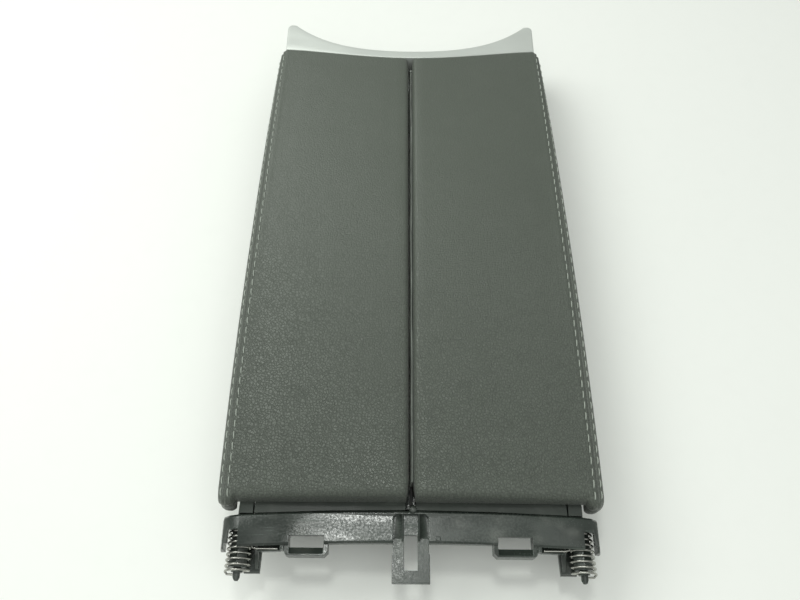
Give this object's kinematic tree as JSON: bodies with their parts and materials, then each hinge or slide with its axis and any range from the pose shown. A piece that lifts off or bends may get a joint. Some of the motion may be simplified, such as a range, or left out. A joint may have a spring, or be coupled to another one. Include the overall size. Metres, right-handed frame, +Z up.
{
  "type": "center console armrest",
  "caption": "Split console armrest: padded leather lids that swing outwards on sprung hinges, moulded carrier with storage opening, silver front bezel with release button.",
  "frame": {"origin": "middle of the object's footprint, at the height of the carrier ring's bottom rim", "axes": "+X to the right, +Y towards the silver bezel at the front, +Z up"},
  "size_m": [0.228, 0.425, 0.062],
  "materials": {
    "leather": "grey grained leather with pale topstitching",
    "foam": "open cell foam",
    "shell_plastic": "textured black plastic",
    "carrier_plastic": "moulded black plastic, satin",
    "satin_silver": "satin silver",
    "spring_steel": "bright spring wire",
    "pale_plastic": "natural acetal",
    "rubber": "soft black rubber"
  },
  "bodies": {
    "carrier": {"carrier_frame": "carrier_plastic", "front_trim": "satin_silver", "latch_housing": "shell_plastic", "latch_shaft": "spring_steel", "latch_spring": "spring_steel", "left_torsion_spring": "spring_steel", "left_front_stop": "rubber", "left_rear_stop": "rubber", "left_trim_screw_inner": "spring_steel", "left_trim_screw_outer": "spring_steel", "right_torsion_spring": "spring_steel", "right_front_stop": "rubber", "right_rear_stop": "rubber", "right_trim_screw_inner": "spring_steel", "right_trim_screw_outer": "spring_steel"},
    "left_lid": {"left_foam_pad": "foam", "left_front_hinge_pin": "spring_steel", "left_rear_hinge_pin": "carrier_plastic", "left_lid_liner": "shell_plastic", "left_lid_shell": "shell_plastic", "left_side_band": "leather", "left_striker": "pale_plastic", "left_top_cover": "leather", "left_liner_screw_front_inner": "spring_steel", "left_liner_screw_front_outer": "spring_steel", "left_liner_screw_rear_inner": "spring_steel", "left_liner_screw_rear_outer": "spring_steel"},
    "right_lid": {"right_foam_pad": "foam", "right_front_hinge_pin": "spring_steel", "right_rear_hinge_pin": "carrier_plastic", "right_lid_liner": "shell_plastic", "right_lid_shell": "shell_plastic", "right_side_band": "leather", "right_striker": "pale_plastic", "right_top_cover": "leather", "right_liner_screw_front_inner": "spring_steel", "right_liner_screw_front_outer": "spring_steel", "right_liner_screw_rear_inner": "spring_steel", "right_liner_screw_rear_outer": "spring_steel", "gap_seal": "rubber"},
    "release_button": {"release_button": "satin_silver"},
    "latch_lever": {"latch_lever": "pale_plastic"}
  },
  "joints": [
    {"name": "left_lid_hinge", "type": "hinge", "parent": "carrier", "child": "left_lid", "pos_m": [-0.1, -0.195, 0.0355], "axis": [-0.0436, -0.999, 0], "range_deg": [0, 85], "deforming": ["left_torsion_spring"]},
    {"name": "right_lid_hinge", "type": "hinge", "parent": "carrier", "child": "right_lid", "pos_m": [0.1, -0.195, 0.0355], "axis": [-0.0436, 0.999, 0], "range_deg": [0, 85], "deforming": ["right_torsion_spring"]},
    {"name": "button_press", "type": "slide", "parent": "carrier", "child": "release_button", "axis": [0, -1, 0], "range_m": [0, 0.004], "stiffness_N_per_m": 500},
    {"name": "latch_turn", "type": "hinge", "parent": "carrier", "child": "latch_lever", "pos_m": [0, 0.158, 0.016], "axis": [1, 0, 0], "range_deg": [0, 12.8], "deforming": ["latch_spring"]}
  ],
  "couplings": [
    {"joint": "latch_turn", "follows": "button_press", "rad_per_m": 55.56}
  ]
}
